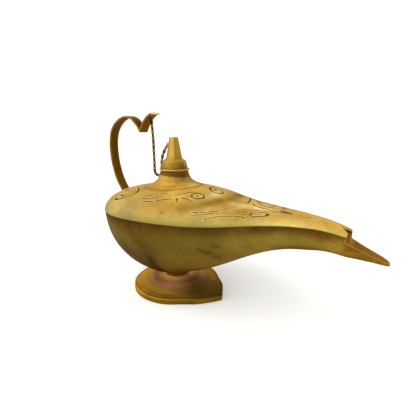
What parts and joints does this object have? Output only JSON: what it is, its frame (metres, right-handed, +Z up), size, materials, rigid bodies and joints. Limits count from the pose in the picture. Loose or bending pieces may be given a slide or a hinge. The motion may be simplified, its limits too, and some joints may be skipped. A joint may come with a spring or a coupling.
{
  "type": "oil lamp",
  "caption": "Brass oil lamp with a deep bowl, long covered spout with an open lip, engraved cover, strap handle, teardrop foot and a lift-off cap on a chain.",
  "frame": {"origin": "centre of the foot's flat underside, on the axis of the filler neck", "axes": "+Z up, +X towards the spout, the handle's strap and the chain lie in the plane Y = 0"},
  "size_m": [0.2516, 0.1048, 0.1536],
  "materials": {
    "aged_brass": "cast, tarnished ochre gold",
    "copper_patina": "spun, copper brown patina",
    "bronze_dark": "turned, dark olive bronze",
    "bronze_bowl": "olive bronze, mottled, dark under the seam",
    "brass_cover": "warm gold, mottled, scroll engraving with dark lines",
    "brass_neck": "warm gold, lightly tarnished",
    "brass_plain": "plain brass",
    "brown_band": "dark brown patina",
    "handle_bronze": "dark bronze with worn gold edges",
    "chain_brass": "brass links with black patina",
    "fibre": "vulcanised fibre washer",
    "cork": "compressed cork",
    "steel": "zinc plated",
    "cotton": "braided cotton"
  },
  "bodies": {
    "lamp": {"foot_plate": "aged_brass", "foot_dome": "copper_patina", "stem_collar": "bronze_dark", "foot_washer": "fibre", "foot_screw": "steel", "bowl": "bronze_bowl", "cover": "brass_cover", "neck": "brass_neck", "neck_liner": "brass_plain", "neck_collar": "brown_band", "handle_strap": "handle_bronze", "handle_eye": "brass_plain", "chain_ring_upper": "chain_brass", "chain": "chain_brass", "wick": "cotton", "wick_tube": "brass_plain"},
    "cap": {"cap_flange": "brass_neck", "cap_plug": "brass_plain", "cap_gasket": "cork", "cap_body": "brass_neck", "cap_finial": "brass_neck", "cap_stud": "steel", "cap_nut": "steel", "cap_eye": "brass_plain", "chain_ring_lower": "chain_brass"}
  },
  "joints": [
    {"name": "cap_lift", "type": "slide", "parent": "lamp", "child": "cap", "axis": [0, 0, 1], "range_m": [0, 0.012], "deforming": ["chain"]}
  ]
}
